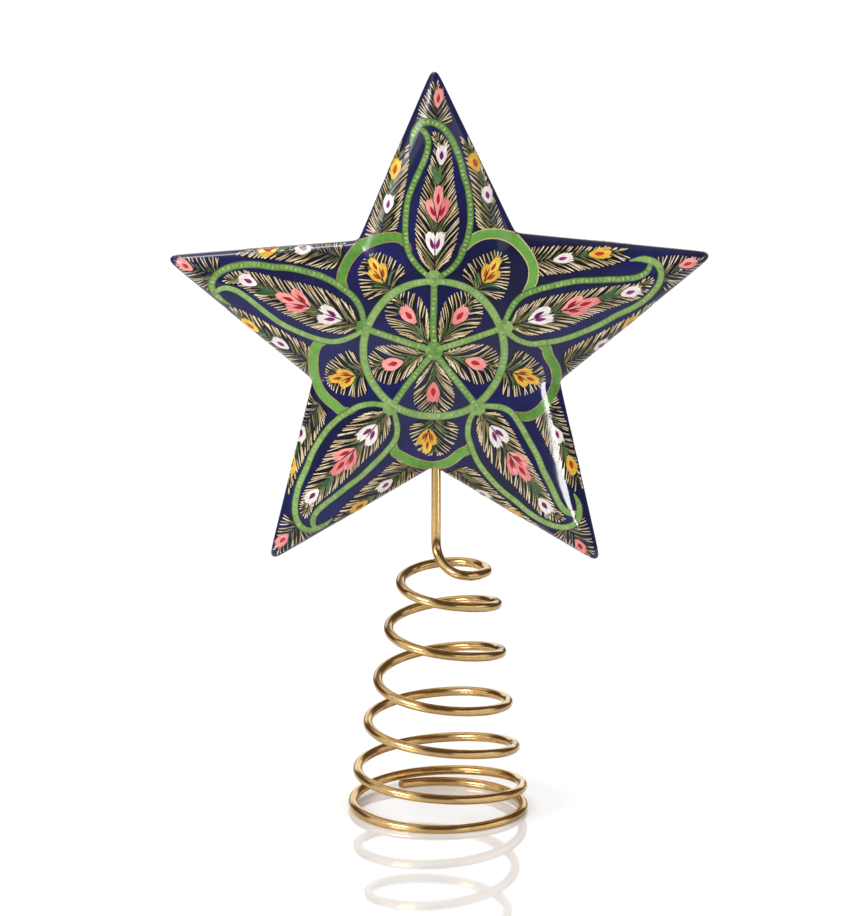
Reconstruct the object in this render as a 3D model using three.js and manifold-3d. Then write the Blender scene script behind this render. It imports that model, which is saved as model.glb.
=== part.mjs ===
// Star tree topper: a hollow papier-mache star, moulded in two halves and glued at the seam,
// on one brass wire that is wound into a widening spring. The spring slips over a tree's tip.
// Millimetres, +Z up. The star's front faces -Y. The origin is on the floor under the star.

import * as THREE from 'three';
import { mergeVertices } from 'three/addons/utils/BufferGeometryUtils.js';
import Module from 'manifold-3d';

const wasm = await Module();
wasm.setup();

// Star outline, with its corners before they are rounded. Each arm of the hand-made star differs
// a little. From the top arm round to the left, and from the notch on its left, seen from the front
const tipRadii = [67.2, 67.4, 67.2, 67.8, 69.9];
const notchRadii = [30.2, 30, 30.4, 31.1, 32.5];
const tipRounding = 1.4;
const notchRounding = 1.5;

// How far the ridges and valleys soften towards the middle of the star
const ridgeSoftness = 6;
const valleySoftness = 8;

// Star body, in section
const crownDepth = 9; // from the seam to the middle of each half
const rimRadius = 3.2; // rounding of the edge
const crownCurve = 1.3; // 1 is a straight slope, more is a fuller dome
const shellWall = 1.6;
const glueLine = 0.3; // between the two halves
const fitGap = 0.3; // between pieces that touch

// Joining strip of paper, folded over the seam inside
const stripThickness = 0.6;
const stripWrap = 1.2; // angle that it wraps up each side of the rim, in radians

// Plug in the bottom notch that grips the wire
const plugWidth = 10;
const plugLength = 13;
const plugLift = 1.5; // from the inside of the notch

// Wire
const wireDiameter = 2.3;
const wireBoreGap = 0.3;
const floorFlat = 0.5; // depth of the flat that the foot stands on

// Spring, from the top down: centreline radius where each turn passes the front, and height where
// it passes the front and the back. It is wound by hand, so its steps are uneven
const turnRadii = [8.6, 11.75, 13.55, 15.6, 17.55, 19.7, 20.4];
const halfTurnHeights = [58.3, 57.6, 53.3, 47, 41.7, 35, 28.7, 23.4, 18.8, 11.3, 8, 2.7];
const springTurns = 6.585; // down to the wire's cut end
const endInset = 2.8; // the last quarter turn draws in by this much, beside the turn above it
const endInsetTurns = [6.18, 6.5];
const springStart = 0.25; // where the neck leaves the top turn
const footCentreX = 1.1;
const springLean = 2.2; // the top turn sits this much further right than the foot

// Neck and stem
const stemX = 0.5;
const neckRise = 7.5; // from the top turn to where the stem is straight
const stemLength = 18; // from there to the star
const neckForward = 6;
const hookRadius = 2.5;
const hookEnd = 2.6;

// The wire is divided where it flexes: at each place one length moves on the next.
// The last one is on the straight of the stem, above the neck, where the star twists.
const flexTurns = [4.5, 3.5, 2.5, 1.5];
const twistRise = 2;
const cutGap = 0.3;

// Faceting
const tipSteps = 4;
const flankSteps = 4;
const notchSteps = 3;
const rimAngles = [0.62, 1.1, Math.PI / 2];
const crownRings = [0.8, 0.58, 0.36, 0.16];
const wireSides = 8;
const pointsPerTurn = 24;
const turnStep = 4.4; // length of wire between two rings, on the turns
const bendStep = 2; // and on the neck and stem
const boreSides = 16;

const wireRadius = wireDiameter / 2;
const restHeight = wireRadius - floorFlat;
const boreRadius = wireRadius + wireBoreGap;
const springTop = halfTurnHeights[0];
const stemFoot = springTop + neckRise;

// Angles between an arm's axis, or a notch's, and the edge that joins them, on a mean arm
const armCount = tipRadii.length;
const armPitch = Math.PI / armCount;
const meanTip = mean(tipRadii);
const meanNotch = mean(notchRadii);
const armAngle = Math.atan2(
  meanNotch * Math.sin(armPitch),
  meanTip - meanNotch * Math.cos(armPitch)
);
const notchAngle = armAngle + armPitch;
const bottomNotch = (armCount - 1) / 2;
const starHeight = stemFoot + stemLength + notchTip(0);

// The origin is midway between the tips of the left and right arms, which differ
const sideReach = Math.cos(Math.PI / 2 - 2 * armPitch);
const middleX = (sideReach * (tipRadii[1] - tipRadii[armCount - 1])) / 2;

const paint = new THREE.Color(0x1a1a5c);
const paper = new THREE.Color(0xb7a88c);
const brass = new THREE.Color(0xb8894a);

function mean(values) {
  return values.reduce((sum, value) => sum + value, 0) / values.length;
}

// Distance from the star's middle to the rounded bottom notch
function notchTip(inset) {
  const sharp = cornerRadius(notchRadii[bottomNotch], notchAngle, inset);
  return sharp + (notchRounding + inset) * (1 / Math.sin(notchAngle) - 1);
}

function cornerRadius(radius, angle, inset) {
  return radius - inset / Math.sin(angle);
}

// Points of an arc that rounds a corner between its two neighbours
function roundCorner(before, corner, after, radius, steps) {
  const toBefore = before.clone().sub(corner).normalize();
  const toAfter = after.clone().sub(corner).normalize();
  const half = toBefore.angleTo(toAfter) / 2;
  const inward = toBefore.clone().add(toAfter).normalize();
  const centre = corner.clone().addScaledVector(inward, radius / Math.sin(half));
  const start = toBefore.clone().multiplyScalar(radius / Math.tan(half)).add(corner).sub(centre);
  const end = toAfter.clone().multiplyScalar(radius / Math.tan(half)).add(corner).sub(centre);
  const turn = Math.sign(start.cross(end)) * (Math.PI - 2 * half);
  const points = [];
  for (let i = 0; i < steps; i += 1) {
    const angle = (turn * i) / (steps - 1);
    points.push(start.clone().rotateAround(new THREE.Vector2(), angle).add(centre));
  }
  return points;
}

// One ring of the star: its outline set in by inset, then shrunk by scale towards the middle
function starRing(inset, scale, y) {
  const tipCurve = Math.max(tipRounding - inset, 0.3) + ridgeSoftness * (1 - scale);
  const notchCurve = notchRounding + inset + valleySoftness * (1 - scale);
  const corners = [];
  for (let i = 0; i < armCount * 2; i += 1) {
    const angle = Math.PI / 2 + i * armPitch;
    const arm = Math.floor(i / 2);
    const tip = cornerRadius(tipRadii[arm], armAngle, inset);
    const notch = cornerRadius(notchRadii[arm], notchAngle, inset);
    const radius = scale * (i % 2 === 0 ? tip : notch);
    corners.push(new THREE.Vector2(radius * Math.cos(angle), radius * Math.sin(angle)));
  }
  const outline = [];
  corners.forEach((corner, i) => {
    const before = corners.at(i - 1);
    const after = corners[(i + 1) % corners.length];
    const isTip = i % 2 === 0;
    const rounding = scale * (isTip ? tipCurve : notchCurve);
    const arc = roundCorner(before, corner, after, rounding, isTip ? tipSteps : notchSteps);
    if (outline.length) fillFlank(outline, outline.at(-1), arc[0]);
    outline.push(...arc);
  });
  fillFlank(outline, outline.at(-1), outline[0]);
  return outline.map((point) => new THREE.Vector3(point.x, y, point.y));
}

function fillFlank(outline, from, to) {
  for (let i = 1; i < flankSteps; i += 1) {
    outline.push(from.clone().lerp(to, i / flankSteps));
  }
}

// Depth of the star's surface from the seam plane, on a form set in by inset
function starDepth(inset, scale) {
  const rim = rimRadius - inset;
  const fromEdge = Math.min(((1 - scale) * flankDistance(inset)) / rim, 1);
  const round = rim * Math.sqrt(1 - (1 - fromEdge) ** 2);
  return round + (crownDepth - rimRadius) * (1 - scale ** crownCurve);
}

function flankDistance(inset) {
  return meanTip * Math.sin(armAngle) - inset;
}

// Scale of the ring that lies at an angle round the rim, from 0 at the seam to a right angle
function rimScale(inset, angle) {
  return 1 - ((rimRadius - inset) * (1 - Math.cos(angle))) / flankDistance(inset);
}

// Rings of one half of the form, from the seam to the middle; side is -1 in front, 1 behind
function halfRings(inset, side, seamY) {
  const flat = rimScale(inset, Math.PI / 2);
  const scales = [...rimAngles.map((angle) => rimScale(inset, angle))];
  scales.push(...crownRings.map((share) => flat * share));
  const rings = scales.map((scale) => starRing(inset, scale, side * starDepth(inset, scale)));
  return [starRing(inset, 1, side * seamY), ...rings];
}

function crownPoint(inset, side) {
  return new THREE.Vector3(0, side * starDepth(inset, 0), 0);
}

// Closed skin over a row of rings, ending in a point at each end, or joined end to end
function skin(rings, firstPoint, lastPoint) {
  const count = rings[0].length;
  const points = rings.flat();
  const index = [];
  const joins = firstPoint ? rings.length - 1 : rings.length;
  for (let ring = 0; ring < joins; ring += 1) {
    const near = ring * count;
    const far = ((ring + 1) % rings.length) * count;
    for (let i = 0; i < count; i += 1) {
      const next = (i + 1) % count;
      index.push(near + i, near + next, far + next, near + i, far + next, far + i);
    }
  }
  if (firstPoint) {
    const first = points.push(firstPoint) - 1;
    const last = points.push(lastPoint) - 1;
    const end = (rings.length - 1) * count;
    for (let i = 0; i < count; i += 1) {
      const next = (i + 1) % count;
      index.push(first, next, i, last, end + i, end + next);
    }
  }
  const geometry = new THREE.BufferGeometry().setFromPoints(points);
  geometry.setIndex(index);
  return facingOut(geometry);
}

// The same closed geometry with its faces turned outwards
function facingOut(geometry) {
  const index = geometry.index.array;
  const corner = [0, 1, 2].map(() => new THREE.Vector3());
  let volume = 0;
  for (let i = 0; i < index.length; i += 3) {
    corner.forEach((point, k) => point.fromBufferAttribute(geometry.attributes.position, index[i + k]));
    volume += corner[0].dot(corner[1].clone().cross(corner[2]));
  }
  if (volume < 0) {
    for (let i = 0; i < index.length; i += 3) {
      [index[i + 1], index[i + 2]] = [index[i + 2], index[i + 1]];
    }
  }
  return geometry;
}

function positionsOnly(geometry) {
  geometry.deleteAttribute('normal');
  geometry.deleteAttribute('uv');
  return mergeVertices(geometry, 1e-4);
}

function solid(geometry) {
  const merged = facingOut(positionsOnly(geometry));
  const mesh = new wasm.Mesh({
    numProp: 3,
    vertProperties: new Float32Array(merged.attributes.position.array),
    triVerts: new Uint32Array(merged.index.array),
  });
  return new wasm.Manifold(mesh);
}

function geometryOf(body) {
  const mesh = body.getMesh();
  const geometry = new THREE.BufferGeometry();
  geometry.setAttribute('position', new THREE.BufferAttribute(mesh.vertProperties, 3));
  geometry.setIndex(new THREE.BufferAttribute(mesh.triVerts, 1));
  return geometry;
}

// Upright rod at the stem's place, in the star's own frame
function stemRod(radius, bottom, top) {
  const rod = new THREE.CylinderGeometry(radius, radius, top - bottom, boreSides);
  rod.rotateX(Math.PI / 2);
  rod.translate(stemX, 0, (top + bottom) / 2);
  return rod;
}

function shellGeometry(side) {
  const outer = halfRings(0, side, glueLine / 2).reverse();
  const inner = halfRings(shellWall, side, glueLine / 2);
  const shell = skin([...outer, ...inner], crownPoint(0, side), crownPoint(shellWall, side));
  const reach = 2 * shellWall;
  const hole = stemRod(boreRadius, -notchTip(0) - reach, -notchTip(shellWall) + reach);
  return geometryOf(solid(shell).subtract(solid(hole)));
}

// Folded strip that follows the rim all round, left open where the plug stands
function stripGeometry() {
  const outerInset = shellWall + fitGap;
  const innerInset = outerInset + stripThickness;
  const angles = [-1, -0.6, -0.25, 0.25, 0.6, 1].map((share) => share * stripWrap);
  const layer = (inset) => angles.map((angle) => {
    const scale = rimScale(inset, Math.abs(angle));
    return starRing(inset, scale, Math.sign(angle) * starDepth(inset, scale));
  });
  const strip = skin([...layer(outerInset), ...layer(innerInset).reverse()]);
  const opening = new THREE.BoxGeometry(plugWidth + 4 * fitGap, 2 * crownDepth, meanNotch);
  opening.translate(stemX, 0, -meanNotch);
  return geometryOf(solid(strip).subtract(solid(opening)));
}

const plugBottom = -notchTip(shellWall) + plugLift;
const plugTop = plugBottom + plugLength;

// Block of pressed paper with the shape of the hollow round it
function plugGeometry() {
  const inset = shellWall + fitGap;
  const front = halfRings(inset, -1, 0).reverse();
  const back = halfRings(inset, 1, 0).slice(1);
  const hollow = skin([...front, ...back], crownPoint(inset, -1), crownPoint(inset, 1));
  const block = new THREE.BoxGeometry(plugWidth, 2 * crownDepth, plugLength);
  block.translate(stemX, 0, (plugBottom + plugTop) / 2);
  const bore = stemRod(boreRadius, plugBottom - fitGap, plugTop + fitGap);
  return geometryOf(solid(hollow).intersect(solid(block)).subtract(solid(bore)));
}

// The spring's centreline radius by turn, and its height by half turn, held level past each end
const turnRadius = new THREE.SplineCurve(
  [...turnRadii, turnRadii.at(-1)].map((radius, i) => new THREE.Vector2(i, radius))
);
const turnHeight = new THREE.SplineCurve(
  [...halfTurnHeights, restHeight, restHeight, restHeight].map((height, i) => new THREE.Vector2(i, height))
);

// The turns go down to the right, then behind, then to the left
function springPoint(turn) {
  const inset = endInset * THREE.MathUtils.smoothstep(turn, ...endInsetTurns);
  const radius = turnRadius.getPoint(turn / (turnRadius.points.length - 1)).y - inset;
  const height = turnHeight.getPoint((2 * turn) / (turnHeight.points.length - 1)).y;
  const z = Math.max(height, restHeight);
  const centreX = footCentreX + springLean * (z / springTop) ** 2;
  const angle = turn * 2 * Math.PI;
  return new THREE.Vector3(centreX + radius * Math.sin(angle), -radius * Math.cos(angle), z);
}

// Neck: across from the top turn to the stem, forward, and up, each as a share of its reach
function neckPoints() {
  const start = springPoint(springStart);
  const shares = [[0.67, 1, 0.08], [0.37, 0.92, 0.15], [0.14, 0.5, 0.35], [0.02, 0.1, 0.66]];
  return shares.map(([across, forward, up]) => new THREE.Vector3(
    THREE.MathUtils.lerp(stemX, start.x, across),
    -neckForward * forward,
    THREE.MathUtils.lerp(start.z, stemFoot, up)
  ));
}

// Stem, straight up through the notch and the plug, then hooked over the plug's top
function stemPoints() {
  const hookFoot = starHeight + plugTop + fitGap;
  const hookHeight = hookFoot + hookRadius;
  const points = [];
  const straightSteps = 6;
  for (let i = 0; i <= straightSteps; i += 1) {
    const z = THREE.MathUtils.lerp(stemFoot, hookFoot, i / straightSteps);
    points.push(new THREE.Vector3(stemX, 0, z));
  }
  const bendSteps = 3;
  for (let i = 1; i <= bendSteps; i += 1) {
    const angle = (i / bendSteps) * (Math.PI / 2);
    const x = stemX + hookRadius * (1 - Math.cos(angle));
    points.push(new THREE.Vector3(x, 0, hookFoot + hookRadius * Math.sin(angle)));
  }
  points.push(new THREE.Vector3(stemX + hookRadius + hookEnd / 2, 0, hookHeight));
  points.push(new THREE.Vector3(stemX + hookRadius + hookEnd, 0, hookHeight));
  return points;
}

const divisionsPerPoint = 10;
const springPointCount = Math.round((springTurns - springStart) * pointsPerTurn);

function wireCurve() {
  const points = [];
  for (let i = 0; i <= springPointCount; i += 1) {
    const share = i / springPointCount;
    points.push(springPoint(THREE.MathUtils.lerp(springTurns, springStart, share)));
  }
  points.push(...neckPoints(), ...stemPoints());
  const curve = new THREE.CatmullRomCurve3(points);
  curve.arcLengthDivisions = (points.length - 1) * divisionsPerPoint;
  return curve;
}

const wire = wireCurve();
const wireLength = wire.getLength();

// Distance along the wire, from its cut end, to one of its points
function lengthAt(point) {
  return wire.getLengths()[Math.round(point * divisionsPerPoint)];
}

// The places where the wire is divided, as distances along it
function wireCuts() {
  const turnShares = flexTurns.map((turn) => (springTurns - turn) / (springTurns - springStart));
  const stemPoint = springPointCount + neckPoints().length + 1;
  return [...turnShares.map((share) => lengthAt(share * springPointCount)), lengthAt(stemPoint) + twistRise];
}

// A stretch of the wire, between two distances along it
class Stretch extends THREE.Curve {
  constructor(start, end) {
    super();
    this.start = start / wireLength;
    this.end = end / wireLength;
  }

  getPoint(t, target = new THREE.Vector3()) {
    return wire.getPointAt(THREE.MathUtils.lerp(this.start, this.end, t), target);
  }
}

function wireGeometry(start, end, steps) {
  const section = [];
  for (let i = 0; i < wireSides; i += 1) {
    const angle = (2 * Math.PI * (i + 0.5)) / wireSides;
    section.push(new THREE.Vector2(wireRadius * Math.cos(angle), wireRadius * Math.sin(angle)));
  }
  return new THREE.ExtrudeGeometry(new THREE.Shape(section), {
    steps,
    extrudePath: new Stretch(start, end),
    bevelEnabled: false,
  });
}

// The lengths of wire from the floor up, with the flat that the foot stands on
function wireGeometries() {
  const cuts = wireCuts();
  const starts = [0, ...cuts.map((cut) => cut + cutGap / 2)];
  const ends = [...cuts.map((cut) => cut - cutGap / 2), wireLength];
  return starts.map((start, i) => {
    const step = i < flexTurns.length ? turnStep : bendStep;
    const body = solid(wireGeometry(start, ends[i], Math.round((ends[i] - start) / step)));
    if (i > 0) return geometryOf(body);
    const wide = 4 * turnRadii.at(-1);
    const below = new THREE.BoxGeometry(wide, wide, wireDiameter);
    below.translate(footCentreX, 0, -wireDiameter / 2);
    return geometryOf(body.subtract(solid(below)));
  });
}

// Least distance between the wire's surface and itself, away from its own next few millimetres
function leastWireGap() {
  const count = 1200;
  const apart = Math.ceil((4 * wireDiameter * count) / wireLength);
  const points = wire.getSpacedPoints(count);
  let least = Infinity;
  for (let i = 0; i < count; i += 1) {
    for (let k = i + apart; k <= count; k += 1) {
      least = Math.min(least, points[i].distanceTo(points[k]));
    }
  }
  return least - wireDiameter;
}

function addPiece(group, name, geometry, color, roughness, metalness) {
  const material = new THREE.MeshStandardMaterial({ color, roughness, metalness });
  const mesh = new THREE.Mesh(geometry, material);
  mesh.name = name;
  group.add(mesh);
}

function buildStar() {
  const star = new THREE.Group();
  star.position.z = starHeight;
  addPiece(star, 'front_shell', shellGeometry(-1), paint, 0.2, 0);
  addPiece(star, 'back_shell', shellGeometry(1), paint, 0.2, 0);
  addPiece(star, 'seam_strip', stripGeometry(), paper, 0.9, 0);
  addPiece(star, 'stem_plug', plugGeometry(), paper, 0.9, 0);
  return star;
}

function buildWire() {
  const group = new THREE.Group();
  const names = ['spring_foot', 'spring_turn_1', 'spring_turn_2', 'spring_turn_3', 'spring_neck', 'stem'];
  wireGeometries().forEach((geometry, i) => addPiece(group, names[i], geometry, brass, 0.3, 1));
  return group;
}

const topper = new THREE.Group();
topper.position.x = middleX;
topper.add(buildWire(), buildStar());

console.log(`wire length ${wireLength.toFixed(1)} mm`);
console.log(`least gap of the wire to itself ${leastWireGap().toFixed(2)} mm`);
console.log(`star centre ${starHeight.toFixed(1)} mm up, ${middleX.toFixed(2)} mm across`);

export default topper;
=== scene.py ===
import math
import random

import bmesh
import bpy
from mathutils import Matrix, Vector
from mathutils.bvhtree import BVHTree


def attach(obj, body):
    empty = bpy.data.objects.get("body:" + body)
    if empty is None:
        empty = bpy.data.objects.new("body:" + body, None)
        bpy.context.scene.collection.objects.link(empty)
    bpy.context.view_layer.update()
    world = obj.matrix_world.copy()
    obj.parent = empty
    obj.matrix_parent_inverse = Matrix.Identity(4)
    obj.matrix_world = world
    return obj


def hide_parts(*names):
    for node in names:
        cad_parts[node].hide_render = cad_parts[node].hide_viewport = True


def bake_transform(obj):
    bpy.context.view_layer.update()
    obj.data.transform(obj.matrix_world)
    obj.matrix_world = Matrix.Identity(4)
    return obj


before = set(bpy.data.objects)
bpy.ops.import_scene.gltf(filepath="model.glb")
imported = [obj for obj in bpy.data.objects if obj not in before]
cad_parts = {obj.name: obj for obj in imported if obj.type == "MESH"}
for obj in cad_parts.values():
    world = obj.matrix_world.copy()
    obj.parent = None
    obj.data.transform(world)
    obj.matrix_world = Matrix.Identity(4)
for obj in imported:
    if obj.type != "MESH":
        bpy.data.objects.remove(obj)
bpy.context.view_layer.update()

mm = 0.001

# Where the middle of the star is, in mm, as in the part's source
starCentre = Vector((-1.19, 0, 114.45))
armCount = 5


class Channel:
    # A node's output, so that shader maths reads as an expression
    def __init__(self, shader, socket):
        self.shader = shader
        self.socket = socket

    def maths(self, operation, first, second):
        return self.shader.node("ShaderNodeMath", {"operation": operation}, {0: first, 1: second})

    def __add__(self, other):
        return self.maths("ADD", self, other)

    def __radd__(self, other):
        return self.maths("ADD", other, self)

    def __sub__(self, other):
        return self.maths("SUBTRACT", self, other)

    def __rsub__(self, other):
        return self.maths("SUBTRACT", other, self)

    def __mul__(self, other):
        return self.maths("MULTIPLY", self, other)

    def __rmul__(self, other):
        return self.maths("MULTIPLY", other, self)


class Shader:
    def __init__(self, name, owner=None):
        self.owner = owner or bpy.data.materials.new(name)
        self.owner.use_nodes = True
        self.tree = self.owner.node_tree
        self.tree.nodes.clear()

    def node(self, kind, settings=None, inputs=None, output=0):
        made = self.tree.nodes.new(kind)
        for name, value in (settings or {}).items():
            if name == "stops":
                self.setStops(made.color_ramp, value)
            else:
                setattr(made, name, value)
        for name, value in (inputs or {}).items():
            if isinstance(value, Channel):
                self.tree.links.new(value.socket, made.inputs[name])
            else:
                made.inputs[name].default_value = value
        return Channel(self, made.outputs[output]) if made.outputs else made

    def setStops(self, ramp, stops):
        while len(ramp.elements) < len(stops):
            ramp.elements.new(1)
        for element, (place, colour) in zip(ramp.elements, stops):
            element.position = place
            element.color = colour

    def objectPlace(self):
        return self.node("ShaderNodeTexCoord", output="Object")

    def noise(self, place, scale, detail=3, roughness=0.6):
        inputs = {"Vector": place, "Scale": scale, "Detail": detail, "Roughness": roughness}
        return self.node("ShaderNodeTexNoise", inputs=inputs)

    def step(self, value, low, high):
        # 0 below low, 1 above high, smooth between
        settings = {"interpolation_type": "SMOOTHSTEP"}
        return self.node("ShaderNodeMapRange", settings, {"Value": value, "From Min": low, "From Max": high})

    def mix(self, share, first, second):
        # The node's colour sockets have no names of their own, so they go by number
        return self.node("ShaderNodeMix", {"data_type": "RGBA"}, {0: share, 6: first, 7: second}, 2)

    def bump(self, height, strength, distance):
        inputs = {"Height": height, "Strength": strength, "Distance": distance}
        return self.node("ShaderNodeBump", inputs=inputs)

    def surface(self, **values):
        # values are named for the sockets: baseColor is Base Color, and so on
        inputs = {}
        for name, value in values.items():
            words = "".join(" " + letter if letter.isupper() else letter for letter in name)
            inputs[words.title().replace("Ior", "IOR")] = value
        shade = self.node("ShaderNodeBsdfPrincipled", inputs=inputs)
        self.node("ShaderNodeOutputMaterial", inputs={"Surface": shade})
        return self.owner


def srgb(red, green, blue):
    # A colour as it is seen, 0 to 255, in the linear values that Blender wants
    shares = [value / 255 for value in (red, green, blue)]
    linear = [s / 12.92 if s <= 0.04045 else ((s + 0.055) / 1.055) ** 2.4 for s in shares]
    return (*linear, 1)


def deselectAll():
    if bpy.context.mode != "OBJECT":
        bpy.ops.object.mode_set(mode="OBJECT")
    bpy.ops.object.select_all(action="DESELECT")


def choose(piece):
    deselectAll()
    piece.select_set(True)
    bpy.context.view_layer.objects.active = piece


def editPiece(piece):
    choose(piece)
    bpy.ops.object.mode_set(mode="EDIT")


def pick(piece, test, kind="VERT"):
    # Select the vertices, edges or faces, in edit mode, that pass a test
    bpy.ops.mesh.select_mode(type=kind)
    bpy.ops.mesh.select_all(action="DESELECT")
    mesh = bmesh.from_edit_mesh(piece.data)
    items = {"VERT": mesh.verts, "EDGE": mesh.edges, "FACE": mesh.faces}[kind]
    for item in items:
        if test(item):
            item.select_set(True)
    mesh.select_flush_mode()
    bmesh.update_edit_mesh(piece.data)


def applyModifier(piece, kind, **settings):
    choose(piece)
    modifier = piece.modifiers.new(kind.title(), kind)
    for name, value in settings.items():
        setattr(modifier, name, value)
    bpy.ops.object.modifier_apply(modifier=modifier.name)


def faceOutwards(piece, inside=False):
    editPiece(piece)
    bpy.ops.mesh.select_all(action="SELECT")
    bpy.ops.mesh.normals_make_consistent(inside=inside)
    bpy.ops.object.mode_set(mode="OBJECT")


def cutOff(piece, place, beyond, threshold=0.0001):
    # Take off what is beyond a plane, and close the cut
    editPiece(piece)
    bpy.ops.mesh.select_all(action="SELECT")
    bpy.ops.mesh.bisect(plane_co=place, plane_no=beyond, use_fill=True, clear_outer=True, threshold=threshold)
    bpy.ops.object.mode_set(mode="OBJECT")


def emptyPiece(name):
    deselectAll()
    bpy.ops.mesh.primitive_plane_add(size=1)
    piece = bpy.context.active_object
    piece.name = name
    bpy.ops.object.mode_set(mode="EDIT")
    bpy.ops.mesh.select_all(action="SELECT")
    bpy.ops.mesh.delete(type="VERT")
    return piece


def copyOf(piece, name):
    choose(piece)
    bpy.ops.object.duplicate()
    copy = bpy.context.active_object
    copy.name = name
    return copy


def finishPiece(piece, material, smoothAngle, body=None):
    choose(piece)
    piece.data.materials.clear()
    piece.data.materials.append(material)
    bpy.ops.object.shade_smooth_by_angle(angle=math.radians(smoothAngle))
    if body:
        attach(piece, body)


def smoothPath(points, steps):
    # Points on one smooth curve through the given ones
    points = [Vector(point) for point in points]
    spread = [2 * points[0] - points[1], *points, 2 * points[-1] - points[-2]]
    path = []
    for before, start, end, after in zip(spread, spread[1:], spread[2:], spread[3:]):
        near, mid, far = (max(length, 1e-9) ** 0.5 for length in
                          ((start - before).length, (end - start).length, (after - end).length))
        leave = (start - before) / near - (end - before) / (near + mid) + (end - start) / mid
        reach = (end - start) / mid - (after - start) / (mid + far) + (after - end) / far
        for i in range(steps):
            t = i / steps
            path.append(
                start * (2 * t**3 - 3 * t**2 + 1) + leave * mid * (t**3 - 2 * t**2 + t)
                + end * (3 * t**2 - 2 * t**3) + reach * mid * (t**3 - t**2)
            )
    path.append(points[-1])
    return path


def tableValue(table, at):
    # Value at a place, from a list of (place, value)
    if at <= table[0][0]:
        return table[0][1]
    for (low, first), (high, second) in zip(table, table[1:]):
        if at <= high:
            return first + (second - first) * (at - low) / (high - low)
    return table[-1][1]


# The camera, as the photo was taken
camera = {
    "lookAt": (-2.6, 0, 86.0),
    "elevation": 15.6,
    "distance": 2400,
    "widthSeen": 201.6,
    "sensorWidth": 36,
    "sightEnd": 50,  # in m
}


def addCamera():
    tilt = math.radians(camera["elevation"])
    away = Vector((0, -math.cos(tilt), math.sin(tilt))) * camera["distance"]
    place = (Vector(camera["lookAt"]) + away) * mm
    bpy.ops.object.camera_add(location=place, rotation=(math.pi / 2 - tilt, 0, 0))
    made = bpy.context.active_object
    made.data.sensor_fit = "HORIZONTAL"
    made.data.sensor_width = camera["sensorWidth"]
    made.data.lens = camera["sensorWidth"] * camera["distance"] / camera["widthSeen"]
    made.data.clip_end = camera["sightEnd"]
    bpy.context.scene.camera = made
    bpy.context.scene.view_settings.view_transform = "Standard"


deselectAll()
addCamera()
print("camera placed")


# The star's two shells
star = {
    "tipRadii": [66.9, 67.1, 66.9, 67.5, 69.6],  # from the top arm round to the left
    "notchRadii": [30.2, 30, 30.4, 31.1, 32.5],  # from the notch left of the top arm
    "tipRounding": 1.4,
    "notchRounding": 1.5,
    "leastRounding": 0.3,
    "ridgeSoftness": 6,
    "valleySoftness": 8,
    "crownDepth": 9,
    "rimRadius": 3.2,
    "crownCurve": 1.3,  # 1 is a straight slope, more is a fuller dome
    "wall": 1.6,
    "rimAngles": [0, 0.3, 0.62, 0.95, 1.27, math.pi / 2],
    "crownRings": [0.93, 0.82, 0.7, 0.58, 0.46, 0.34, 0.22, 0.12],
    "tipCuts": 4,
    "notchCuts": 3,
    "flankCuts": 5,
    "flankLength": 20,  # an edge of the outline longer than this is a flank
    "notchLimit": 40,  # a corner nearer the middle than this is a notch
    "tipLimit": 50,  # and one further out than this is a tip
    "seamGap": 0.02,
    "stemX": 1.69,  # from the middle of the star
    "holeRadius": 1.3,
    "holeLength": 12,
    "holeHeight": -30,
    "holeSides": 32,
    "smoothAngle": 40,
}
armPitch = math.pi / armCount
meanTip = sum(star["tipRadii"]) / armCount
meanNotch = sum(star["notchRadii"]) / armCount
armAngle = math.atan2(meanNotch * math.sin(armPitch), meanTip - meanNotch * math.cos(armPitch))
notchAngle = armAngle + armPitch


def flankDistance(inset):
    return meanTip * math.sin(armAngle) - inset


def starDepth(inset, scale):
    rim = star["rimRadius"] - inset
    fromEdge = min((1 - scale) * flankDistance(inset) / rim, 1)
    dome = (star["crownDepth"] - star["rimRadius"]) * (1 - scale ** star["crownCurve"])
    return rim * math.sqrt(1 - (1 - fromEdge) ** 2) + dome


def inRing(item, depth):
    # Whether a vertex, edge or face lies in the outline at this depth
    verts = [item] if isinstance(item, bmesh.types.BMVert) else item.verts
    return all(abs(vert.co.y - depth) < 1e-6 for vert in verts)


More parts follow.
